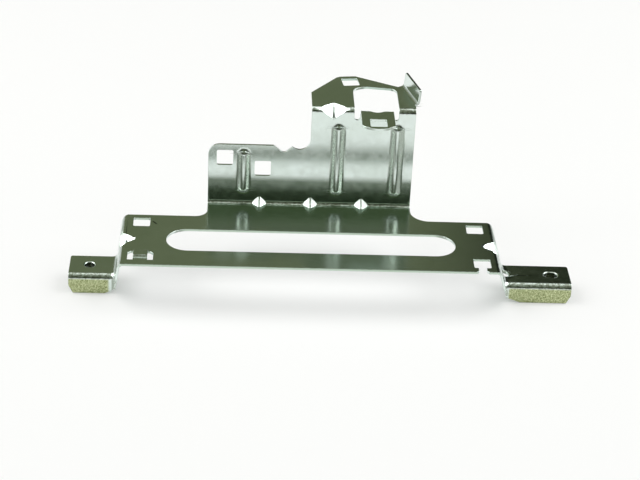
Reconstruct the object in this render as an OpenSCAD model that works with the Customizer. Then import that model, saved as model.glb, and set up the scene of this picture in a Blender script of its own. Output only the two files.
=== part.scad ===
// Engine control unit bracket, folded from one blank of zinc plated steel sheet.
// X runs along the base plate, Y runs back to the upright, Z is up.
// The origin is the middle of the left fixing hole, in the plane of the foot's underside.
// The modules draw the sheet about the middle of the line where the top of the base plate
// meets the front of the upright, and bracket() moves the whole to its origin.

/* [Sheet] */
// Thickness of the steel sheet
sheet_t = 1.25; // [0.9:0.05:1.6]
// Inside radius of the main bends
bend_r = 1.75; // [1.5:0.05:2.2]

/* [Base plate] */
// Length of the base plate, over both side bends
base_w = 181; // [176:1:200]
// Depth of the base plate from the upright to its front edge
base_depth = 62.3; // [61:0.5:68]
// Distance from the upright to the rear edge of the two side wings
wing_setback = 14.4; // [13:0.2:15]
// Radius of the rear corners of the wings
wing_corner_r = 4; // [2:0.5:5]
// Radius between the left wing and the upright
left_fillet_r = 6; // [3:0.5:8]
// Radius between the right wing and the upright
right_fillet_r = 9; // [4:0.5:10]
// Overall length of the long slot
slot_len = 138; // [100:1:144]
// Width of the long slot
slot_w = 20.6; // [14:0.2:21]
// Distance from the upright to the middle of the long slot
slot_setback = 38; // [37:0.5:39]

/* [Clip holes] */
// Side of the square clip holes
clip_sq = 8; // [6:0.1:8.4]
// Corner radius of the square clip holes
clip_r = 0.8; // [0.4:0.1:1.5]
// Distance from the middle to the clip holes in the wings
clip_x = 80.6; // [79:0.2:81]
// Setback of the rear clip holes
rear_clip_setback = 21.6; // [21:0.2:22]
// Setback of the open clip hole at the front right corner
front_clip_setback = 54.4; // [54:0.2:54.6]
// Width of the neck that opens the front clip hole
neck_w = 3.8; // [2:0.1:5]

/* [Lanced bridge] */
// Length of the lanced opening
lance_len = 12; // [11:0.2:13]
// Depth of the lanced opening
lance_depth = 7.8; // [6.5:0.1:7.8]
// Width of the strap that bridges it
strap_w = 6.8; // [4:0.1:8]
// Height that the strap is raised
strap_rise = 1; // [0.7:0.1:1.6]

/* [Upright] */
// Width of the upright
upright_w = 99.8; // [96:0.2:104]
// Distance that the upright is shifted to the right
upright_shift = 0.5; // [0:0.1:1]
// Height of its low left part
low_h = 32; // [31.4:0.2:34]
// Height of its tall right part, to the top of the top plate
tall_h = 53; // [52:0.2:58]
// Width of its tall right part
tall_w = 50.4; // [49:0.2:51]
// Radius of its left corner
low_corner_r = 5.5; // [2:0.5:6]
// Radius between the low and the tall part
step_r = 5.2; // [4.6:0.1:5.6]
// Depth of the notch in the top edge of the low part
notch_depth = 3.5; // [2:0.1:4]

/* [Beads and gussets] */
// Width of the stiffening beads
bead_w = 6; // [5:0.1:6.4]
// Height that the beads stand out
bead_rise = 2; // [1.4:0.1:2.4]
// Height of the lower end of the beads
bead_low = 5.8; // [5.4:0.1:7]
// Distance from the middle to the short bead at the left
left_bead_x = 32.1; // [31.6:0.1:32.4]
// Distance from the middle to the long bead beside the tab
mid_bead_x = 13.4; // [12:0.1:14]
// Distance from the middle to the long bead at the right
right_bead_x = 42; // [41:0.1:43]
// Distance between the gussets in the rear bend
gusset_pitch = 25.1; // [20:0.1:25.2]
// Width of these gussets where the planes of the sheet would meet
rear_gusset_w = 8.6; // [7:0.1:9]
// Reach of these gussets over each side of the bend
rear_gusset_reach = 3.9; // [3.5:0.1:4.2]
// Width of the gusset sunk in the top bend
top_gusset_w = 16.8; // [14:0.2:18]
// Reach of this gusset over each side of the bend
top_gusset_reach = 5.8; // [5:0.1:6.2]
// Width of the gussets sunk in the side bends
side_gusset_w = 18; // [15:0.2:19]
// Reach of these gussets over each side of the bend
side_gusset_reach = 5.6; // [5:0.1:6]
// Width of the flat along the edge of the gussets
gusset_flat = 0.8; // [0.4:0.1:1.2]
// Radius of the dome sunk in the bend of the tab
tab_gusset_r = 4.6; // [4:0.1:5]

/* [Top plate] */
// Depth of the top plate
top_depth = 37.3; // [36.5:0.2:42]
// Turn of the skewed rear edge and of its clip hole
top_skew = 8; // [0:1:10]
// Width of the window
window_w = 21.5; // [21:0.1:22]
// Distance from the left side of the top plate to the window
window_x = 20.6; // [20:0.2:21]
// Depth of the window in the top plate
window_depth = 25; // [24.5:0.2:25.4]
// Height that the ear stands above the top plate
ear_h = 7.4; // [5:0.2:9]
// Length of the ear along its fold
ear_len = 21.5; // [18:0.5:22]
// Outward lean of the ear
ear_lean = 4.5; // [2:0.5:8]
// Turn of the ear's fold against the side of the upright
ear_turn = 15; // [13:0.5:16]

/* [Tab] */
// Width of the tab
tab_w = 16; // [14:0.2:16.4]
// Reach of the tab in front of the upright
tab_len = 20.2; // [19.4:0.2:22]
// Height of the top of the tab
tab_h = 52.5; // [51.5:0.1:53]
// Radius of the rounded front edge of the tab
tab_nose_r = 11; // [10:0.5:16]

/* [Legs and feet] */
// Height of the base plate over the top of the feet
leg_h = 14.5; // [13.5:0.1:17]
// Distance that the left leg spreads outward
left_spread = 1.2; // [0.8:0.1:2]
// Distance that the right leg spreads outward
right_spread = 2.8; // [2:0.1:3]
// Inside radius of the bend between leg and foot
foot_bend_r = 2.5; // [2:0.1:3]
// Distance from the middle to the left end of the left foot
left_reach = 114.2; // [113:0.2:120]
// Distance from the middle to the right end of the right foot
right_reach = 126.2; // [125:0.2:132]
// Setback of the rear edge of the feet
foot_rear = 30.4; // [29:0.2:31]
// Setback of the front face of the feet
foot_front = 48.5; // [47.5:0.1:49.5]
// Height of the front flange of the feet
flange_h = 10; // [8.4:0.1:12]
// Chamfer at the lower outer corners of the flanges
flange_chamfer = 4; // [2:0.2:4.6]
// Length over which the lower inner corner of the left flange is trimmed
left_trim = 3; // [1:0.2:5]
// Length over which the lower inner corner of the right flange is trimmed
right_trim = 6; // [3:0.2:7]
// Diameter of the fixing holes in the feet
hole_d = 4.6; // [4:0.1:5.4]
// Distance from the middle to the round fixing hole
hole_x = 104.6; // [103:0.2:106]
// Length of the slotted fixing hole in the right foot
slot_hole_len = 6.4; // [5:0.1:7.4]
// Distance from the middle to the slotted fixing hole
slot_hole_x = 117; // [115:0.2:119]
// Setback of both fixing holes
hole_setback = 38.6; // [38:0.1:39]
// Radius that rounds the mouth of these holes
mouth_r = 0.8; // [0.3:0.1:1.1]
// Depth of the drawn collars under the feet
collar_depth = 2.5; // [1.5:0.1:4]
// Distance from the right leg to the tooling hole in its foot
tooling_x = 4; // [3.8:0.1:6]
// Diameter of this tooling hole
tooling_d = 4; // [3:0.1:4.4]

/* [Hidden] */
$fn = 64;

// Overcut that carries every cutter clear of the sheet
cut = 6;
outer_r = bend_r + sheet_t;
half_w = base_w / 2;
upright_left = upright_shift - upright_w / 2;
upright_right = upright_shift + upright_w / 2;
tall_left = upright_right - tall_w;
top_x = tall_left + window_x;

// Height where the legs begin to bend out into the feet
knee = foot_bend_r - leg_h;

// Front end of the lanced opening, and how far behind it the strap starts
lance_front = 4.5 - base_depth;
strap_setback = 2.4;

// Front end of the ear's fold: out past the right edge, and back from the upright
ear_out = 0.9;
ear_front = 6.6;

// The window, its two side slots and the tab between them
window_right = top_x + window_w;
slot_floor = tab_h - outer_r - 2;
tab_mid = top_x + 2.8 + tab_w / 2;

// A child outline, drawn in Y and Z, extruded from x0 to x1
module along_x(x0, x1) {
    translate([x0, 0, 0])
        rotate([90, 0, 90])
            linear_extrude(x1 - x0)
                children();
}

// A child outline, drawn in X and Z, extruded from y0 to y1
module along_y(y0, y1) {
    translate([0, y1, 0])
        rotate([90, 0, 0])
            linear_extrude(y1 - y0)
                children();
}

// A child outline, drawn in X and Y, extruded from z0 to z1
module along_z(z0, z1) {
    translate([0, 0, z0])
        linear_extrude(z1 - z0)
            children();
}

// Rectangle from one corner to the opposite one
module span(x0, y0, x1, y1) {
    translate([x0, y0])
        square([x1 - x0, y1 - y0]);
}

// Rectangle with four rounded corners
module round_rect(x0, y0, x1, y1, r) {
    span(x0 + r, y0, x1 - r, y1);
    span(x0, y0 + r, x1, y1 - r);
    for (x = [x0 + r, x1 - r], y = [y0 + r, y1 - r])
        translate([x, y])
            circle(r);
}

// Square clip hole about its own middle
module clip_hole() {
    half = clip_sq / 2;
    round_rect(-half, -half, half, half, clip_r);
}

// What is cut away to round a corner that points along +X and +Y
module corner_cut(r) {
    difference() {
        translate([-r, -r])
            square(r + cut);
        translate([-r, -r])
            circle(r);
    }
}

// Cross-section of a bend about its centre, between two directions under 180 apart
module bend_section(r_in, from, to) {
    reach = 4 * (r_in + sheet_t);
    intersection() {
        difference() {
            circle(r_in + sheet_t);
            circle(r_in);
        }
        polygon([
            [0, 0],
            [reach * cos(from), reach * sin(from)],
            [reach * cos((from + to) / 2), reach * sin((from + to) / 2)],
            [reach * cos(to), reach * sin(to)]
        ]);
    }
}

// Side view of the main sheet: base plate, rear bend, upright, top bend, top plate
module main_section() {
    span(-base_depth, -sheet_t, -bend_r, 0);
    translate([-bend_r, bend_r])
        bend_section(bend_r, 270, 360);
    span(0, bend_r, sheet_t, tall_h - outer_r);
    translate([outer_r, tall_h - outer_r])
        bend_section(bend_r, 90, 180);
    span(outer_r, tall_h - sheet_t, top_depth + cut, tall_h);
}

// Plan of the base plate, short of the side bends
module base_plan() {
    edge = half_w - outer_r;
    difference() {
        union() {
            span(-edge, -base_depth, edge, -wing_setback);
            span(upright_left, -wing_setback - 1, upright_right, cut);
            translate([upright_left - left_fillet_r, -wing_setback])
                difference() {
                    span(0, -1, left_fillet_r + 1, left_fillet_r);
                    translate([0, left_fillet_r])
                        circle(left_fillet_r);
                }
            translate([upright_right + right_fillet_r, -wing_setback])
                difference() {
                    span(-right_fillet_r - 1, -1, 0, right_fillet_r);
                    translate([0, right_fillet_r])
                        circle(right_fillet_r);
                }
        }
        long_slot();
        for (side = [-1, 1])
            translate([side * clip_x, -rear_clip_setback])
                clip_hole();
        translate([clip_x + 0.6, -front_clip_setback])
            clip_hole();
        front_neck();
        lanced_opening();
    }
}

// Long slot with round ends
module long_slot() {
    r = slot_w / 2;
    straight = slot_len / 2 - r;
    translate([0.8, -slot_setback]) {
        square([2 * straight, slot_w], center = true);
        for (side = [-1, 1])
            translate([side * straight, 0])
                circle(r);
    }
}

// Neck from the front clip hole to the front edge, flared at its mouth
module front_neck() {
    x = clip_x + 0.4;
    mouth = neck_w / 2 + 1;
    span(x - neck_w / 2, -base_depth - 1, x + neck_w / 2, -front_clip_setback);
    polygon([
        [x - mouth, -base_depth - 0.01],
        [x + mouth, -base_depth - 0.01],
        [x + neck_w / 2, -base_depth + 1],
        [x - neck_w / 2, -base_depth + 1]
    ]);
}

// Opening of the lanced bridge: two lobes with clipped rear corners, and the strap's gap
module lanced_opening() {
    half = lance_len / 2;
    clip = 1.6;
    translate([0.8 - clip_x, lance_front])
        difference() {
            polygon([
                [-half, 0],
                [half, 0],
                [half, lance_depth - clip],
                [half - clip, lance_depth],
                [clip - half, lance_depth],
                [-half, lance_depth - clip]
            ]);
            translate([-strap_w / 2, -1])
                square([strap_w, strap_setback + 1]);
        }
}

// Strap raised over the lanced opening
module lanced_strap() {
    front = lance_front + strap_setback - 0.3;
    rear = lance_front + lance_depth + 0.6;
    ramp = strap_rise * 0.8;
    half_t = sheet_t / 2;
    x = 0.8 - clip_x;
    along_x(x - strap_w / 2, x + strap_w / 2)
        polygon([
            [front, -sheet_t],
            [front, 0],
            [front + ramp, strap_rise],
            [rear - ramp, strap_rise],
            [rear, 0],
            [rear, -sheet_t],
            [rear - half_t, -sheet_t],
            [rear - ramp - half_t, strap_rise - sheet_t],
            [front + ramp + half_t, strap_rise - sheet_t],
            [front + half_t, -sheet_t]
        ]);
}

// Front view of the upright and its top bend
module upright_face() {
    difference() {
        union() {
            span(upright_left, -cut, upright_right, low_h);
            span(tall_left, low_h - 1, upright_right, tall_h + cut);
            span(tall_left - step_r - 3.4, low_h - 3, tall_left + 1, low_h + step_r - 1.9);
        }
        translate([upright_left, low_h])
            mirror([1, 0, 0])
                corner_cut(low_corner_r);
        translate([tall_left - step_r, low_h + step_r - 1.9])
            circle(step_r);
        translate([tall_left - step_r - 8, low_h])
            square([8 + step_r - 3, cut * 2]);
        top_notch();
        translate([upright_left + 8.1, 24.9])
            clip_hole();
        translate([upright_left + 26.6, 19.4])
            clip_hole();
        side_slots();
    }
}

// Rounded vee in the top edge of the low part
module top_notch() {
    r = 2;
    slope = 39;
    x = tall_left - 12.8;
    rise = notch_depth - r;
    side = r * sin(slope);
    drop = r * cos(slope);
    run = (rise + drop + 2) / tan(slope);
    translate([x, low_h - rise]) {
        circle(r);
        polygon([
            [-side, -drop],
            [side, -drop],
            [side + run, rise + 2],
            [-side - run, rise + 2]
        ]);
    }
}

// The two slots that free the tab from the upright
module side_slots() {
    left_end = tab_mid - tab_w / 2;
    right_start = tab_mid + tab_w / 2;
    span(top_x, slot_floor + 0.8, window_right, tall_h + 2 * cut);
    for (ends = [[top_x, left_end], [right_start, window_right]])
        translate([(ends[0] + ends[1]) / 2, slot_floor + 0.8])
            circle((ends[1] - ends[0]) / 2);
}

// Plan of the top plate behind the upright
module top_plan() {
    ear_end = upright_right - 4.4;
    difference() {
        polygon([
            [tall_left, -cut],
            [tall_left, top_depth - 19.9],
            [tall_left + 12.9, top_depth - 2.1],
            [tall_left + 14.8, top_depth - 0.9],
            [tall_left + 22.3, top_depth],
            [upright_right - 7.4, top_depth - 11.2],
            [ear_end, top_depth - 9.4],
            [upright_right, top_depth - 33],
            [upright_right, -cut]
        ]);
        window_plan();
        translate([tall_left + 19.7, top_depth - 7])
            rotate(top_skew)
                clip_hole();
    }
}

// Window in the top plate, with a skewed rear edge and clipped corners
module window_plan() {
    polygon([
        [top_x, -2 * cut],
        [top_x, window_depth - 4.8],
        [top_x + 0.4, window_depth - 3.4],
        [top_x + 1.1, window_depth - 2.3],
        [top_x + 2.4, window_depth - 1.3],
        [top_x + 4.3, window_depth - 0.4],
        [top_x + 6.9, window_depth + 0.4],
        [window_right - 2.8, window_depth - 1.2],
        [window_right - 1.6, window_depth - 1.9],
        [window_right - 0.7, window_depth - 2.9],
        [window_right - 0.1, window_depth - 4.4],
        [window_right, window_depth - 5.6],
        [window_right, -2 * cut]
    ]);
}

// Upright capsule between the two given ends
module capsule(r, low, high) {
    translate([0, 0, low + r])
        rotate_extrude()
            intersection() {
                union() {
                    circle(r);
                    span(-r, 0, r, high - low - 2 * r);
                    translate([0, high - low - 2 * r])
                        circle(r);
                }
                span(0, -2 * r, 2 * r, high - low);
            }
}

// All beads, with their skin the given inset inside the outer one
module beads(inset) {
    outer = (bead_rise * bead_rise + bead_w * bead_w / 4) / (2 * bead_rise);
    r = outer - inset;
    over = outer - bead_w / 2 - inset;
    for (bead = [
        [-left_bead_x, low_h - 2.3],
        [mid_bead_x, tall_h - 8.6],
        [right_bead_x, tall_h - 8.5]
    ])
        translate([bead[0], outer - bead_rise, 0])
            capsule(r, bead_low - over, bead[1] + over);
}

// Cross-section of a gusset: a vee with a narrow flat, and the given half width at the given depth
module gusset_vee(half, depth, thick) {
    flat = gusset_flat / 2;
    slope = (half - flat) / depth;
    shift = thick * norm([1, slope]) / slope;
    far = 3 * depth;
    polygon([
        [-flat, shift],
        [flat, shift],
        [flat + slope * far, shift - far],
        [-flat - slope * far, shift - far]
    ]);
}

// Bar laid across a corner at 45 degrees whose faces look to -Y and +Z. Its ridge runs over
// an inner corner, from the point at the given reach before it to the one above it.
module raised_gusset(half, reach, inset) {
    translate([0, -reach, 0])
        rotate([45, 0, 0])
            along_y(-reach, 3 * reach)
                gusset_vee(half, reach * sqrt(0.5), -inset);
}

// The same bar turned over, with its edge sunk behind an outer corner
module sunk_gusset(half, reach, extra) {
    translate([0, 0, -reach])
        rotate([45, 0, 0])
            along_y(-2 * reach, 3 * reach)
                mirror([0, 1])
                    gusset_vee(half, reach * sqrt(0.5), extra);
}

// Ball before an outer corner whose faces look to -Y and +Z, for the dome sunk in the tab
module sunk_ball(r, extra) {
    translate([0, -0.8, 0.8])
        sphere(r + extra);
}

// Gussets pressed up out of the rear bend
module rear_gussets(inset) {
    for (i = [-1, 0, 1])
        translate([1 + i * gusset_pitch, 0, 0])
            raised_gusset(rear_gusset_w / 2, rear_gusset_reach, inset);
}

// Plan of the tab, with its round nose
module tab_plan() {
    left = tab_mid - tab_w / 2;
    right = tab_mid + tab_w / 2;
    difference() {
        union() {
            span(left, -tab_len + tab_nose_r, right, cut);
            intersection() {
                span(left, -tab_len - 1, right, cut);
                translate([tab_mid, -tab_len + tab_nose_r])
                    circle(tab_nose_r);
            }
        }
        translate([tab_mid, -tab_len + clip_sq / 2 + 2.3])
            clip_hole();
    }
}

// Side view of the tab and its bend
module tab_section() {
    span(-tab_len - 1, tab_h - sheet_t, -bend_r, tab_h);
    translate([-bend_r, tab_h - outer_r])
        bend_section(bend_r, 0, 90);
    span(0, slot_floor, sheet_t, tab_h - outer_r);
}

// Tab bent forward over the upright
module tab() {
    at = [tab_mid, sheet_t, tab_h];
    difference() {
        union() {
            intersection() {
                along_x(tab_mid - tab_w / 2, tab_mid + tab_w / 2)
                    tab_section();
                along_z(slot_floor - 1, tab_h + 1)
                    tab_plan();
            }
            intersection() {
                translate(at)
                    mirror([0, 1, 0])
                        sunk_ball(tab_gusset_r, sheet_t);
                along_x(tab_mid - tab_w / 2, tab_mid + tab_w / 2)
                    tab_core();
            }
        }
        translate(at)
            mirror([0, 1, 0])
                sunk_ball(tab_gusset_r, 0);
    }
}

// Space inside the bend of the tab, up to its outer skin
module tab_core() {
    translate([-bend_r, tab_h - outer_r])
        intersection() {
            circle(outer_r);
            square(outer_r);
        }
    room = tab_gusset_r + 2 * sheet_t + 1;
    span(-room, tab_h - outer_r - room / 2, sheet_t, tab_h - outer_r);
    span(-room, tab_h - outer_r - 1, -bend_r, tab_h);
}

// Space behind the top bend, up to its outer skin
module top_core() {
    translate([outer_r, tall_h - outer_r])
        intersection() {
            circle(outer_r);
            translate([-outer_r, 0])
                square(outer_r);
        }
    room = top_gusset_reach + 3 * sheet_t;
    span(0, tall_h - room, room, tall_h - outer_r);
    span(outer_r, tall_h - outer_r - 1, room, tall_h);
}

// Front view of a leg, which spreads out from its bend and runs on below its knee
module leg_section(spread) {
    low = half_w + 2 * spread;
    polygon([
        [half_w - sheet_t, -outer_r],
        [half_w, -outer_r],
        [low, 2 * knee + outer_r],
        [low - sheet_t, 2 * knee + outer_r]
    ]);
}

// Side view that trims a leg, with the web that runs down to the flange
module leg_outline() {
    front = foot_front + foot_bend_r;
    difference() {
        union() {
            span(-base_depth, knee, -wing_setback, 0);
            polygon([
                [-front, 0],
                [-front, knee - 3],
                [-foot_front + sheet_t / 2, knee - 6.4],
                [-foot_front + sheet_t / 2, knee - 8.4],
                [-front - 0.6, knee - 8.4],
                [-front - 6.5, knee],
                [-front - 6.5, 0]
            ]);
        }
        translate([-base_depth, knee])
            rotate(180)
                corner_cut(4);
        translate([-wing_setback, knee])
            mirror([0, 1])
                corner_cut(5);
    }
}

// Side view of a foot: flat, front bend and flange
module foot_section() {
    axis = outer_r - foot_front;
    span(axis, -leg_h - sheet_t, -foot_rear, -leg_h);
    translate([axis, -leg_h - outer_r])
        bend_section(bend_r, 90, 180);
    span(-foot_front, -leg_h - flange_h, -foot_front + sheet_t, -leg_h - outer_r);
}

// Front view that trims a foot and its flange, along the leg that spreads out beside it
module foot_face(spread, near, reach, trim) {
    low = -leg_h - flange_h;
    leg_in = near - foot_bend_r - sheet_t;
    polygon([
        [leg_in - 1, cut],
        [leg_in - 1, knee],
        [leg_in, knee],
        [leg_in + spread, 2 * knee + outer_r],
        [near + trim / 15, low + trim / 3],
        [near + trim, low],
        [reach - flange_chamfer / 2, low],
        [reach, low + flange_chamfer],
        [reach, cut]
    ]);
}

// Plan that trims a foot
module foot_plan(near, reach) {
    difference() {
        span(near, -foot_front - 1, reach, -foot_rear);
        translate([reach, -foot_rear])
            corner_cut(1.2);
    }
}

// Corner where leg, foot and flange meet, swept round the front bend of the foot
module foot_corner(near) {
    translate([near, outer_r - foot_front, -leg_h - outer_r])
        mirror([0, 1, 0])
            rotate([0, -90, 0])
                rotate_extrude(angle = 90)
                    translate([outer_r + foot_bend_r, 0])
                        rotate(90)
                            bend_section(foot_bend_r, 0, 90);
    translate([near, -foot_front - foot_bend_r, -leg_h - flange_h])
        linear_extrude(flange_h - outer_r)
            bend_section(foot_bend_r, 90, 180);
}

// One leg with its foot, drawn for the right side
module leg_and_foot(spread, reach, trim) {
    near = half_w + spread + foot_bend_r;
    at = [half_w, -slot_setback - 0.8, 0];
    difference() {
        union() {
            along_y(-base_depth, -wing_setback)
                translate([half_w - outer_r, -outer_r])
                    bend_section(bend_r, 0, 90);
            intersection() {
                along_y(-base_depth, -wing_setback)
                    leg_section(spread);
                along_x(half_w - outer_r, near + spread)
                    leg_outline();
            }
            along_y(outer_r - foot_front, -foot_rear)
                translate([near, -leg_h + foot_bend_r])
                    bend_section(foot_bend_r, 180, 270);
            intersection() {
                along_x(near, reach)
                    foot_section();
                along_y(-foot_front - 1, -foot_rear + 1)
                    foot_face(spread, near, reach, trim);
                along_z(-leg_h - flange_h - 1, 0)
                    foot_plan(near, reach);
            }
            intersection() {
                foot_corner(near);
                along_y(-foot_front - foot_bend_r - 1, 0)
                    foot_face(spread, near, reach, trim);
            }
            intersection() {
                translate(at)
                    rotate([0, 0, 90])
                        sunk_gusset(side_gusset_w / 2, side_gusset_reach, sheet_t);
                along_y(-slot_setback - side_gusset_w, -slot_setback + side_gusset_w)
                    side_core();
            }
        }
        translate(at)
            rotate([0, 0, 90])
                sunk_gusset(side_gusset_w / 2, side_gusset_reach, 0);
        translate([half_w, -wing_setback, -leg_h])
            along_z(0, leg_h + 1)
                corner_cut(wing_corner_r);
    }
}

// Space inside a side bend, up to its outer skin
module side_core() {
    translate([half_w - outer_r, -outer_r])
        circle(outer_r);
    room = side_gusset_reach + 3 * sheet_t;
    span(half_w - room, -room, half_w - outer_r, 0);
    span(half_w - room, -room, half_w, -outer_r);
}

// Hole drawn down through a foot, rounded at its mouth
module drawn_hole(length, d, z_top) {
    half = (length - d) / 2;
    translate([0, 0, z_top]) {
        for (side = [-1, 1])
            translate([side * half, 0, 0])
                rotate_extrude()
                    hole_profile(d / 2);
        if (half > 0)
            translate([-half, 0, 0])
                rotate([90, 0, 90])
                    linear_extrude(2 * half) {
                        hole_profile(d / 2);
                        mirror([1, 0])
                            hole_profile(d / 2);
                    }
    }
}

// Half section of the hole with its rounded mouth
module hole_profile(r) {
    low = -sheet_t - collar_depth - 1;
    span(0, low, r, 2);
    difference() {
        span(0, -mouth_r, r + mouth_r, 2);
        translate([r + mouth_r, -mouth_r])
            circle(mouth_r);
    }
}

// Collar that is drawn out under a hole
module drawn_collar(length, d, z_top) {
    half = (length - d) / 2;
    wall = 1;
    translate([0, 0, z_top - sheet_t - collar_depth])
        linear_extrude(collar_depth + sheet_t / 2) {
            for (side = [-1, 1])
                translate([side * half, 0])
                    circle(d / 2 + wall);
            if (half > 0)
                square([2 * half, d + 2 * wall], center = true);
        }
}

// One side of the ear's sheet, from the middle of its bend out to the given radius
module ear_skin(r, length) {
    near = r - 0.0005;
    side = [cos(ear_lean), -sin(ear_lean)];
    up = [sin(ear_lean), cos(ear_lean)];
    circle(r);
    span(-1, -r, 0, 0);
    polygon([
        [0, 0],
        near * side,
        near * side + length * up,
        length * up
    ]);
}

// Section of the ear about the middle of its bend
module ear_section() {
    length = (ear_h - bend_r) / cos(ear_lean);
    difference() {
        ear_skin(outer_r, length);
        ear_skin(bend_r, length + 1);
        polygon([
            [-2 * outer_r, 0],
            [bend_r / 2, 0],
            [bend_r / 2 + (length + 1) * tan(ear_lean), length + 1],
            [-2 * outer_r, length + 1]
        ]);
        span(-2 * outer_r, -2 * outer_r, -0.5, 2 * outer_r);
    }
}

// Ear folded up along the skewed right edge of the top plate
module ear() {
    shift = -bend_r * (1 - sin(ear_lean)) / cos(ear_lean);
    ear_frame()
        difference() {
            along_y(0, ear_len)
                translate([shift, bend_r])
                    ear_section();
            for (end = [0, 1])
                translate([-1, end * ear_len, ear_h])
                    rotate([90, 0, 90])
                        linear_extrude(3 * outer_r)
                            mirror([1 - end, 0])
                                corner_cut(1.2);
        }
}

// Places what follows at the front end of the ear's fold
module ear_frame() {
    translate([upright_right + ear_out, ear_front, tall_h])
        rotate([0, 0, ear_turn])
            children();
}

// Upright, base plate and top plate as one folded strip
module main_sheet() {
    top_at = [tall_left + 10.6, 0, tall_h];
    difference() {
        union() {
            intersection() {
                along_x(-half_w, half_w)
                    main_section();
                union() {
                    along_z(-cut, bend_r)
                        base_plan();
                    along_y(-bend_r, outer_r)
                        upright_face();
                    along_z(tall_h - sheet_t - bend_r / 2, tall_h + cut)
                        top_plan();
                }
            }
            intersection() {
                beads(0);
                translate([-half_w, -cut, 0])
                    cube([base_w, cut + sheet_t, tall_h]);
            }
            intersection() {
                rear_gussets(0);
                along_x(-half_w, half_w)
                    rear_corner();
            }
            intersection() {
                translate(top_at)
                    sunk_gusset(top_gusset_w / 2, top_gusset_reach, sheet_t);
                along_x(tall_left, tall_left + window_x)
                    top_core();
            }
        }
        beads(sheet_t);
        rear_gussets(sheet_t);
        translate(top_at)
            sunk_gusset(top_gusset_w / 2, top_gusset_reach, 0);
        ear_frame()
            translate([-bend_r * (1 - sin(ear_lean)) / cos(ear_lean), 0, -2 * sheet_t])
                cube([cut, ear_len, 3 * sheet_t]);
    }
}

// Room before the rear bend, as deep as the middle of the sheet
module rear_corner() {
    room = 2 * rear_gusset_reach;
    span(-room, -sheet_t / 2, -bend_r, room);
    span(-room, bend_r, sheet_t / 2, room);
    translate([-bend_r, bend_r])
        circle(bend_r + sheet_t / 2);
}

module bracket() {
    left_hole = [-hole_x, -hole_setback, 0];
    right_hole = [slot_hole_x, -hole_setback, 0];
    tooling_hole = [half_w + tooling_x, -hole_setback, 0];
    color("silver")
        translate([hole_x, hole_setback, leg_h + sheet_t])
            difference() {
                union() {
                    main_sheet();
                    lanced_strap();
                    tab();
                    ear();
                    leg_and_foot(right_spread, right_reach, right_trim);
                    mirror([1, 0, 0])
                        leg_and_foot(left_spread, left_reach, left_trim);
                    translate(left_hole)
                        drawn_collar(hole_d, hole_d, -leg_h);
                    translate(right_hole)
                        drawn_collar(slot_hole_len, hole_d, -leg_h);
                }
                translate(left_hole)
                    drawn_hole(hole_d, hole_d, -leg_h);
                translate(right_hole)
                    drawn_hole(slot_hole_len, hole_d, -leg_h);
                translate(tooling_hole)
                    drawn_hole(tooling_d, tooling_d, -leg_h);
            }
}

bracket();
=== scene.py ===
from math import cos, pi, radians

import bmesh
import bpy
from mathutils import Euler, Matrix, Vector


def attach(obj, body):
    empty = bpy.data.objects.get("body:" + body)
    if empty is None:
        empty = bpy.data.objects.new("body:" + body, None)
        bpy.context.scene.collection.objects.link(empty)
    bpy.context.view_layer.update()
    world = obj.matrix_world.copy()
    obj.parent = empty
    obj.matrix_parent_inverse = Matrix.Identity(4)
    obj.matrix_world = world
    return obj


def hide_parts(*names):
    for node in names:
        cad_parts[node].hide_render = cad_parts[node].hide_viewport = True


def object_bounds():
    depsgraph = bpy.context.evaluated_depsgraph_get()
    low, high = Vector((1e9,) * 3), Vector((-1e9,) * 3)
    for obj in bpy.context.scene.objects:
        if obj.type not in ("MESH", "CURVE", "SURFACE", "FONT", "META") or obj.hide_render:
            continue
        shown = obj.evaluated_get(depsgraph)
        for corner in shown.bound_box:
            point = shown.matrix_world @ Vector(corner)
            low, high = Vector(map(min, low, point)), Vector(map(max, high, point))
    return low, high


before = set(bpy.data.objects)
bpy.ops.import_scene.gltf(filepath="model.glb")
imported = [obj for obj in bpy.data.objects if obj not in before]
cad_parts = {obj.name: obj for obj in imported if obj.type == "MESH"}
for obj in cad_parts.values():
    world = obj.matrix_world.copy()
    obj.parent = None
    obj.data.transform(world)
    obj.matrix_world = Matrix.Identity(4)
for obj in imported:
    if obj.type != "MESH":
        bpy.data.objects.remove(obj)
cad_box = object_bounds()
scene = bpy.context.scene


# Camera: a long lens about a metre in front of the bracket and a little left of its middle.
# It looks thirty degrees down and three degrees to the right, and is rolled by three, as
# the photograph was taken.
sensor_wide, photo_wide, focal_pixels = 36.0, 640.0, 1992.36
camera_down, camera_right, camera_roll = 29.412, 3.0405, 2.839
camera_place = Vector((0.0656, -0.8256, 0.48365))

camera_data = bpy.data.cameras.new("photo_lens")
camera_data.sensor_fit = "HORIZONTAL"
camera_data.sensor_width = sensor_wide
camera_data.lens = sensor_wide * focal_pixels / photo_wide
camera_data.clip_start = 0.05
camera_data.clip_end = 20.0
camera = bpy.data.objects.new("photo_camera", camera_data)
scene.collection.objects.link(camera)
camera_tilt = Euler((radians(90.0 - camera_down), 0.0, radians(-camera_right))).to_matrix()
camera_turn = camera_tilt @ Matrix.Rotation(radians(camera_roll), 3, "Z")
camera.matrix_world = Matrix.Translation(camera_place) @ camera_turn.to_4x4()
scene.camera = camera


# Bracket: one blank of 1.25 mm steel sheet, pierced, beaded and folded in a press, with its
# two fixing holes drawn through. It is zinc plated in a barrel after pressing, which also
# takes the sharpness off the sheared edges.
sheet = 0.00125
edge_round = 0.00016
bend_angle, flat_angle = radians(32.0), radians(0.2)
merge_distance, cut_distance = 2e-6, 1e-7
base_middle, upright_front, base_top = 0.1046, 0.0386, 0.01575

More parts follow.
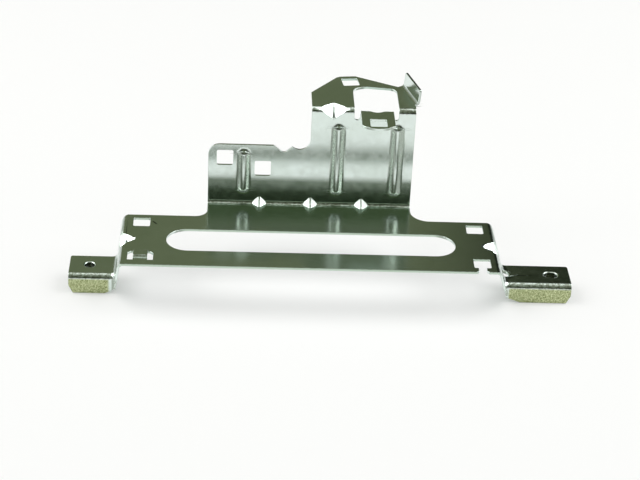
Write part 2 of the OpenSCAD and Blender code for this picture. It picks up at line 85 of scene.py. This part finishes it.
# Beads of the upright: how far each is from the middle of the base plate, with the height
# of its top above the plate
bead_tops = {-0.0321: 0.0297, 0.0134: 0.0444, 0.0420: 0.0445}
bead_low = base_top + 0.0058
bead_half, bead_rise, bead_shoulder = 0.003, 0.0017, 0.001
bead_back_inset = 0.0006
bead_room_front, bead_room_back = 0.0021, 0.0001
bead_grid = {0: 0.00045, 2: 0.0008}

# Gussets of the side bends: where each starts and ends from the middle of the base plate,
# how wide it is, and how steeply its valley falls
gusset_tip, gusset_outer, gusset_half = 0.0820, 0.0905, 0.0064
gusset_setback = 0.0380
gusset_fall = 0.6
gusset_facing = 0.25
gusset_room_tip, gusset_room_side = 0.0005, 0.00002
gusset_room_half, gusset_room_below, gusset_room_above = 0.0068, 0.0065, 0.0001
gusset_grid = {0: 0.0006, 1: 0.0006}


def faces_in(faces, low, high, whole):
    """Those faces that lie in the box, or only reach into it."""
    slack = -merge_distance if whole else merge_distance
    found = []
    for face in faces:
        near = [min(v.co[i] for v in face.verts) for i in range(3)]
        far = [max(v.co[i] for v in face.verts) for i in range(3)]
        first, last = (near, far) if whole else (far, near)
        if all(first[i] > low[i] + slack and last[i] < high[i] - slack for i in range(3)):
            found.append(face)
    return found


def faces_of(geom):
    """The faces alone, of what a cut gives back."""
    return [g for g in geom if isinstance(g, bmesh.types.BMFace)]


def with_borders(faces):
    """The faces with their edges and corners, each once and always in the same order."""
    edges = dict.fromkeys(e for f in faces for e in f.edges)
    corners = dict.fromkeys(v for f in faces for v in f.verts)
    return [*faces, *edges, *corners]


def cut_across(bm, geom, axis, value):
    """Cuts the geometry along the plane where that axis has that value."""
    place, across = [0.0, 0.0, 0.0], [0.0, 0.0, 0.0]
    place[axis], across[axis] = value, 1.0
    cut = bmesh.ops.bisect_plane(bm, geom=geom, dist=cut_distance, plane_co=place, plane_no=across)
    return cut["geom"]


def cut_skin(bm, low, high, steps):
    """Cuts the skin inside the box along planes square to the axes, and returns its faces."""
    geom = with_borders(faces_in(bm.faces, low, high, False))
    for axis in steps:
        for value in (low[axis], high[axis]):
            geom = cut_across(bm, geom, axis, value)
    geom = with_borders(faces_in(faces_of(geom), low, high, True))
    for axis, step in steps.items():
        span = high[axis] - low[axis]
        count = round(span / step)
        for i in range(1, count):
            geom = cut_across(bm, geom, axis, low[axis] + span * i / count)
    return faces_of(geom)


def soften_bead(bm, centre, top):
    """The press leaves a soft shoulder round a bead, so its skin follows a rounded wave."""
    middle = base_middle + centre
    reach = bead_half + bead_shoulder
    low = (middle - reach, upright_front - bead_room_front, bead_low - bead_shoulder)
    high = (middle + reach, upright_front + sheet + bead_room_back, base_top + top + bead_shoulder)
    skin = cut_skin(bm, low, high, bead_grid)
    front = {v for f in skin if f.normal.y < 0 for v in f.verts}
    back = {v for f in skin if f.normal.y >= 0 for v in f.verts} - front
    for side, flat_at, wide in ((front, upright_front, reach),
                                (back, upright_front + sheet, reach - bead_back_inset)):
        for v in side:
            below = bead_low + bead_half - v.co.z
            above = v.co.z - (base_top + top - bead_half)
            away = Vector((v.co.x - base_middle - centre, max(below, above, 0.0))).length
            v.co.y = flat_at - bead_rise * cos(min(away / wide, 1.0) * pi / 2) ** 2


def deepen_gusset(bm, side):
    """The gusset of a side bend runs out on the base in a long point."""
    tip, outer = gusset_tip - gusset_room_tip, gusset_outer
    near, far = sorted((base_middle + side * tip, base_middle + side * outer))
    middle_y = upright_front - gusset_setback
    low = (near - gusset_room_side, middle_y - gusset_room_half, base_top - gusset_room_below)
    high = (far + gusset_room_side, middle_y + gusset_room_half, base_top + gusset_room_above)
    skin = cut_skin(bm, low, high, gusset_grid)
    upper = {v for f in skin if f.normal.z > gusset_facing for v in f.verts}
    under = {v for f in skin if f.normal.z < -gusset_facing for v in f.verts} - upper
    spread = gusset_fall * (gusset_outer - gusset_tip) / gusset_half
    for surface, drop in ((upper, 0.0), (under, sheet)):
        for v in surface:
            out = side * (v.co.x - base_middle) - gusset_tip
            sunk = gusset_fall * out - spread * abs(v.co.y - middle_y)
            if sunk > 0:
                v.co.z = min(v.co.z, base_top - drop - sunk)


def tumbled_copy(node):
    """The CAD skin merged, with soft beads, deep side gussets and every sharp edge rounded."""
    bm = bmesh.new()
    bm.from_mesh(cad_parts[node].data)
    bmesh.ops.remove_doubles(bm, verts=bm.verts, dist=merge_distance)
    bmesh.ops.dissolve_degenerate(bm, edges=bm.edges, dist=merge_distance)
    for centre, top in bead_tops.items():
        soften_bead(bm, centre, top)
    for side in (-1, 1):
        deepen_gusset(bm, side)
    bmesh.ops.dissolve_limit(bm, angle_limit=flat_angle, verts=bm.verts, edges=bm.edges)
    skin = bpy.data.meshes.new("tumbled_sheet")
    bm.to_mesh(skin)
    bm.free()
    skin.polygons.foreach_set("use_smooth", [True] * len(skin.polygons))
    blank = bpy.data.objects.new("tumbled_blank", skin)
    scene.collection.objects.link(blank)
    tumbling = blank.modifiers.new("tumbling", "BEVEL")
    tumbling.width = edge_round
    tumbling.segments = 2
    tumbling.limit_method = "ANGLE"
    tumbling.angle_limit = bend_angle
    tumbling.use_clamp_overlap = False
    tumbling.miter_outer = "MITER_ARC"
    flow = blank.modifiers.new("flow", "WEIGHTED_NORMAL")
    flow.mode = "FACE_AREA"
    flow.weight = 50
    evaluated = blank.evaluated_get(bpy.context.evaluated_depsgraph_get())
    finished = bpy.data.meshes.new_from_object(evaluated)
    bpy.data.objects.remove(blank)
    piece = bpy.data.objects.new("zinc_plated_bracket", finished)
    scene.collection.objects.link(piece)
    return piece


def bare_nodes(owner, output):
    """Empties the node tree of a material or a world, but for a new output node."""
    owner.use_nodes = True
    owner.node_tree.nodes.clear()
    return owner.node_tree.nodes, owner.node_tree.nodes.new(output)


def feed(socket, value):
    """Links another node's output to a socket, or sets a number or a colour on it."""
    if isinstance(value, bpy.types.NodeSocket):
        socket.id_data.links.new(value, socket)
    else:
        socket.default_value = value


def mapped(value, low, high, to_low=0.0, to_high=1.0, smooth=False):
    """Goes from to_low to to_high as the value goes from low to high, and stays there."""
    node = value.id_data.nodes.new("ShaderNodeMapRange")
    node.interpolation_type = "SMOOTHSTEP" if smooth else "LINEAR"
    feed(node.inputs["Value"], value)
    feed(node.inputs["From Min"], low)
    feed(node.inputs["From Max"], high)
    feed(node.inputs["To Min"], to_low)
    feed(node.inputs["To Max"], to_high)
    return node.outputs["Result"]


def computed(operation, first, second=0.0):
    """The result of one sum on another node's output."""
    node = first.id_data.nodes.new("ShaderNodeMath")
    node.operation = operation
    feed(node.inputs[0], first)
    feed(node.inputs[1], second)
    return node.outputs["Value"]


def both(first, second):
    """The product, which for two masks is where both of them are."""
    return computed("MULTIPLY", first, second)


def away_from(value, middle):
    """The distance of the value from the middle, to either side."""
    return computed("ABSOLUTE", computed("SUBTRACT", value, middle))


def blended(mask, first, second):
    """The first colour where the mask is 0, and the second where it is 1."""
    node = mask.id_data.nodes.new("ShaderNodeMix")
    node.data_type = "RGBA"
    feed(node.inputs["Factor"], mask)
    feed(node.inputs["A"], first)
    feed(node.inputs["B"], second)
    return node.outputs["Result"]


# Colours of the plating, of the grain on the flanges, of the patches on the bends, of the painted
# shade on the bead sides, at the upright's foot, in the gusset valley and inside the holes, and of
# the scratch
zinc_dim, zinc_clear = (0.72, 0.81, 0.76, 1.0), (0.78, 0.865, 0.83, 1.0)
zinc_mottled = (0.66, 0.74, 0.68, 1.0)
grain_dark, grain_yellow = (0.17, 0.21, 0.07, 1.0), (0.68, 0.73, 0.44, 1.0)
bend_patch = (0.20, 0.23, 0.15, 1.0)
bead_flank_shade = (0.20, 0.24, 0.18, 1.0)
foot_shade_colour = (0.20, 0.32, 0.17, 1.0)
valley_shade_black = (0.03, 0.035, 0.03, 1.0)
scratch_black = (0.02, 0.025, 0.015, 1.0)
hole_shade_black = (0.015, 0.02, 0.012, 1.0)

# Places and sizes of the flanges' grain, the band of painted shade at the upright's foot, the bow,
# the painted shade in the top gusset's valley, the scratch and the painted shade inside the holes
flange_below = (-0.0008, -0.0016)
left_flange, right_flange = (0.0100, 0.0090), (0.2002, 0.2012)
foot_shade_fade, foot_shade_from = (0.0298, 0.0225), (0.0135, 0.0165)
bow_low, bow_high, bow_depth = 0.0108, 0.0280, 0.001
valley_shade_middle, valley_shade_edge = 0.1153, 0.0003
valley_shade_low, valley_shade_high, valley_shade_wide, valley_shade_narrow = 0.0636, 0.0658, 0.0010, 0.00045
valley_shade_room = {"Y": (0.0380, 0.0450), "Z": (0.0633, 0.0673)}
scratch_middle, scratch_floor = (0.0302, 0.0166), 0.0155
scratch_along, scratch_across = Vector((0.591, -0.806)), Vector((0.806, 0.591))
scratch_length, scratch_width = (0.0019, 0.0015), (0.00042, 0.00022)
hole_depth, hole_half = (0.0010, 0.0006), 0.0034
left_hole, left_hole_half = 0.0, 0.0042
right_hole, right_hole_half = 0.2216, 0.0060


def zinc_plating():
    """Bright zinc with the clouds and grain of the bath and a tool scratch, with painted shade on
    the bead sides, at the upright's foot, in the top gusset's valley and inside the drawn holes.
    """
    mat = bpy.data.materials.new("zinc_plating")
    nodes, out = bare_nodes(mat, "ShaderNodeOutputMaterial")
    skin = nodes.new("ShaderNodeBsdfPrincipled")
    skin.inputs["Metallic"].default_value = 1.0
    feed(out.inputs["Surface"], skin.outputs["BSDF"])
    coord = nodes.new("ShaderNodeTexCoord")
    place = nodes.new("ShaderNodeSeparateXYZ")
    feed(place.inputs["Vector"], coord.outputs["Object"])
    x, y, z = (place.outputs[axis] for axis in "XYZ")

    def noise(name, scale, detail, roughness):
        node = nodes.new("ShaderNodeTexNoise")
        node.name = name
        node.inputs["Scale"].default_value = scale
        node.inputs["Detail"].default_value = detail
        node.inputs["Roughness"].default_value = roughness
        feed(node.inputs["Vector"], coord.outputs["Object"])
        return node.outputs["Fac"]

    clouds = noise("bath_clouds", scale=55.0, detail=3.0, roughness=0.55)
    mottle = noise("plating_mottle", scale=320.0, detail=4.0, roughness=0.6)
    grain = noise("plating_grain", scale=1700.0, detail=3.0, roughness=0.6)
    patches = noise("bend_patches", scale=900.0, detail=2.0, roughness=0.5)

    # How much the sheet was stretched here: none on flat faces, most in the bends
    shape = nodes.new("ShaderNodeNewGeometry")
    facing = nodes.new("ShaderNodeVectorMath")
    facing.operation = "ABSOLUTE"
    feed(facing.inputs[0], shape.outputs["Normal"])
    axes = nodes.new("ShaderNodeSeparateXYZ")
    feed(axes.inputs["Vector"], facing.outputs["Vector"])
    to_side, to_front, to_top = (axes.outputs[axis] for axis in "XYZ")
    squarest = computed("MAXIMUM", computed("MAXIMUM", to_side, to_front), to_top)
    stretched = mapped(squarest, 0.96, 0.80)

    # The flanges of the feet keep the coarse yellow grain that gathers on low faces
    facing_front = mapped(to_front, 0.90, 0.98)
    beyond_legs = computed("ADD", mapped(x, *left_flange), mapped(x, *right_flange))
    flange = both(both(facing_front, mapped(z, *flange_below)), beyond_legs)

    zinc = blended(mapped(clouds, 0.35, 0.65), zinc_dim, zinc_clear)
    zinc = blended(mapped(mottle, 0.35, 0.7, to_high=0.35), zinc, zinc_mottled)
    olive = blended(mapped(grain, 0.36, 0.64), grain_dark, grain_yellow)

    # The plating is patchy along the bends
    turned = both(mapped(squarest, 0.995, 0.955), mapped(to_side, 0.12, 0.06))
    zinc = blended(both(mapped(patches, 0.43, 0.57, to_high=0.7), turned), zinc, bend_patch)

    # Painted shade darkens the sides of the beads
    bead_flank_shade_mask = both(mapped(to_side, 0.12, 0.34, to_high=0.62), mapped(to_front, 0.7, 0.8))
    zinc = blended(bead_flank_shade_mask, zinc, bead_flank_shade)

    # Painted shade: a darker band along the foot of the upright, standing in for the dark
    # reflection of the base plate
    foot_shade_band = both(facing_front, mapped(z, *foot_shade_fade, to_high=0.78))
    zinc = blended(both(foot_shade_band, mapped(z, *foot_shade_from)), zinc, foot_shade_colour)
    zinc = blended(flange, zinc, olive)

    # Painted shade darkens the valley of the top gusset, most at its lower end
    valley_shade_half = mapped(z, valley_shade_low, valley_shade_high, valley_shade_wide, valley_shade_narrow)
    into_valley_shade = computed("SUBTRACT", valley_shade_half, away_from(x, valley_shade_middle))
    valley_shade = mapped(into_valley_shade, 0.0, valley_shade_edge, to_high=0.85)
    for axis, (low, high) in valley_shade_room.items():
        valley_shade = both(valley_shade, computed("GREATER_THAN", place.outputs[axis], low))
        valley_shade = both(valley_shade, computed("LESS_THAN", place.outputs[axis], high))
    zinc = blended(valley_shade, zinc, valley_shade_black)

    # A short deep scratch beside the clip hole at the rear left
    scratch = computed("GREATER_THAN", z, scratch_floor)
    for way, fade in ((scratch_along, scratch_length), (scratch_across, scratch_width)):
        run = computed("ADD", both(x, way.x), both(y, way.y))
        middle_run = way.x * scratch_middle[0] + way.y * scratch_middle[1]
        scratch = both(scratch, mapped(away_from(run, middle_run), *fade))
    zinc = blended(scratch, zinc, scratch_black)

    # Painted shade darkens the inside of the two drawn holes
    near_row = computed("LESS_THAN", away_from(y, 0.0), hole_half)
    in_left = both(computed("LESS_THAN", away_from(x, left_hole), left_hole_half), near_row)
    in_right = both(computed("LESS_THAN", away_from(x, right_hole), right_hole_half), near_row)
    hole_shade_mask = both(computed("MAXIMUM", in_left, in_right), mapped(z, *hole_depth, to_high=0.9))
    feed(skin.inputs["Base Color"], blended(hole_shade_mask, zinc, hole_shade_black))

    even = mapped(mottle, 0.3, 0.7, 0.15, 0.21)
    rough = computed("ADD", computed("ADD", even, both(stretched, 0.12)), both(flange, 0.20))
    feed(skin.inputs["Roughness"], rough)

    # The upright bows a little next to the rear bend
    bow = nodes.new("ShaderNodeBump")
    bow.inputs["Distance"].default_value = bow_depth
    feed(bow.inputs["Height"], mapped(z, bow_low, bow_high, 1.0, 0.0, smooth=True))
    feed(bow.inputs["Strength"], facing_front)

    # The grain stands up a little, most in the bends and on the flanges
    relief = nodes.new("ShaderNodeBump")
    relief.inputs["Distance"].default_value = 0.0004
    feed(relief.inputs["Height"], grain)
    in_bends = computed("ADD", both(stretched, 0.25), 0.003)
    feed(relief.inputs["Strength"], computed("ADD", in_bends, both(flange, 0.12)))
    feed(relief.inputs["Normal"], bow.outputs["Normal"])
    feed(skin.inputs["Normal"], relief.outputs["Normal"])
    return mat


bracket = tumbled_copy("bracket")
bracket.data.materials.clear()
bracket.data.materials.append(zinc_plating())
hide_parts("bracket")
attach(bracket, "root")


# Studio floor: a sheet of white paper under the part, and the same paper stood round it
# well out of the way, so that every view ends on white.
paper_colour, paper_white = (0.92, 0.92, 0.92, 1.0), (1.0, 1.0, 1.0, 1.0)
white_share, shadow_reach = 0.6, 0.018
paper_radius, paper_rise, paper_drop = 3.2, 0.45, 0.0001
paper_profile = ((0.0, 0.0), (0.1, 0.03), (0.15, 0.12), (0.15, paper_rise))
floor_middle = Vector((
    (cad_box[0][0] + cad_box[1][0]) / 2,
    (cad_box[0][1] + cad_box[1][1]) / 2,
    cad_box[0][2],
))


def studio_paper():
    """Paper that is seen partly as plain white, but shows its shadow close to the part."""
    mat = bpy.data.materials.new("studio_paper")
    nodes, out = bare_nodes(mat, "ShaderNodeOutputMaterial")
    lit = nodes.new("ShaderNodeBsdfDiffuse")
    lit.inputs["Color"].default_value = paper_colour
    white = nodes.new("ShaderNodeEmission")
    white.inputs["Color"].default_value = paper_white
    white.inputs["Strength"].default_value = 1.0
    path = nodes.new("ShaderNodeLightPath")
    seen = path.outputs["Is Camera Ray"]
    for ray in ("Is Glossy Ray", "Is Transmission Ray"):
        seen = computed("MAXIMUM", seen, path.outputs[ray])
    contact = nodes.new("ShaderNodeAmbientOcclusion")
    contact.samples = 8
    contact.inputs["Distance"].default_value = shadow_reach
    mix = nodes.new("ShaderNodeMixShader")
    feed(mix.inputs["Fac"], both(both(seen, white_share), contact.outputs["AO"]))
    feed(mix.inputs[1], lit.outputs["BSDF"])
    feed(mix.inputs[2], white.outputs["Emission"])
    feed(out.inputs["Surface"], mix.outputs["Shader"])
    return mat


bm = bmesh.new()
rings = []
for beyond, height in paper_profile:
    ring = bmesh.ops.create_circle(bm, segments=96, radius=paper_radius + beyond)["verts"]
    bmesh.ops.translate(bm, verts=ring, vec=floor_middle + Vector((0.0, 0.0, height - paper_drop)))
    rings.append(ring)
bm.faces.new(rings[0])
for low, high in zip(rings, rings[1:]):
    for i in range(len(low)):
        bm.faces.new((low[i - 1], low[i], high[i], high[i - 1]))
bmesh.ops.recalc_face_normals(bm, faces=bm.faces)
paper_mesh = bpy.data.meshes.new("studio_paper")
bm.to_mesh(paper_mesh)
bm.free()
paper_mesh.materials.append(studio_paper())
paper = bpy.data.objects.new("studio_paper", paper_mesh)
scene.collection.objects.link(paper)


# Studio room and lamps: a dim olive room that only the metal shows, darker to the back
# right and low behind the camera. A softbox stands at each side, and a dim one hangs above.
room_dark = (0.01, 0.014, 0.007, 1.0)
room_back, room_front = (0.13, 0.15, 0.085, 1.0), (0.15, 0.17, 0.11, 1.0)
side_size, side_radiance = (1.2, 1.4), 3.9
top_size, top_radiance = (1.4, 0.8), 0.9


def studio_room():
    """The room by direction: X is right, Y is back and Z is up."""
    world = bpy.data.worlds.new("studio_room")
    nodes, out = bare_nodes(world, "ShaderNodeOutputWorld")
    room = nodes.new("ShaderNodeBackground")
    feed(out.inputs["Surface"], room.outputs["Background"])
    coord = nodes.new("ShaderNodeTexCoord")
    way = nodes.new("ShaderNodeSeparateXYZ")
    feed(way.inputs["Vector"], coord.outputs["Generated"])
    to_right = mapped(way.outputs["X"], 0.10, 0.14, smooth=True)
    upward = mapped(way.outputs["Z"], 0.36, 0.50, smooth=True)
    to_back = mapped(way.outputs["Y"], -0.1, 0.3, smooth=True)
    back = blended(to_right, room_back, room_dark)
    front = blended(upward, room_dark, room_front)
    feed(room.inputs["Color"], blended(to_back, front, back))
    return world


def softbox(name, offset, size, radiance):
    """A lamp set off from the middle of the floor under the part, and turned to face it."""
    width, height = size
    data = bpy.data.lights.new(name, "AREA")
    data.shape = "RECTANGLE"
    data.size, data.size_y = width, height
    data.energy = radiance * pi * width * height
    lamp = bpy.data.objects.new(name, data)
    lamp.location = floor_middle + Vector(offset)
    lamp.rotation_euler = (-Vector(offset)).to_track_quat("-Z", "Y").to_euler()
    scene.collection.objects.link(lamp)


scene.world = studio_room()
softbox("left_softbox", (-1.25, 0.05, 1.15), side_size, side_radiance)
softbox("right_softbox", (1.25, 0.05, 1.15), side_size, side_radiance)
softbox("top_softbox", (0.0, 0.15, 1.5), top_size, top_radiance)

scene.view_settings.view_transform = "Standard"
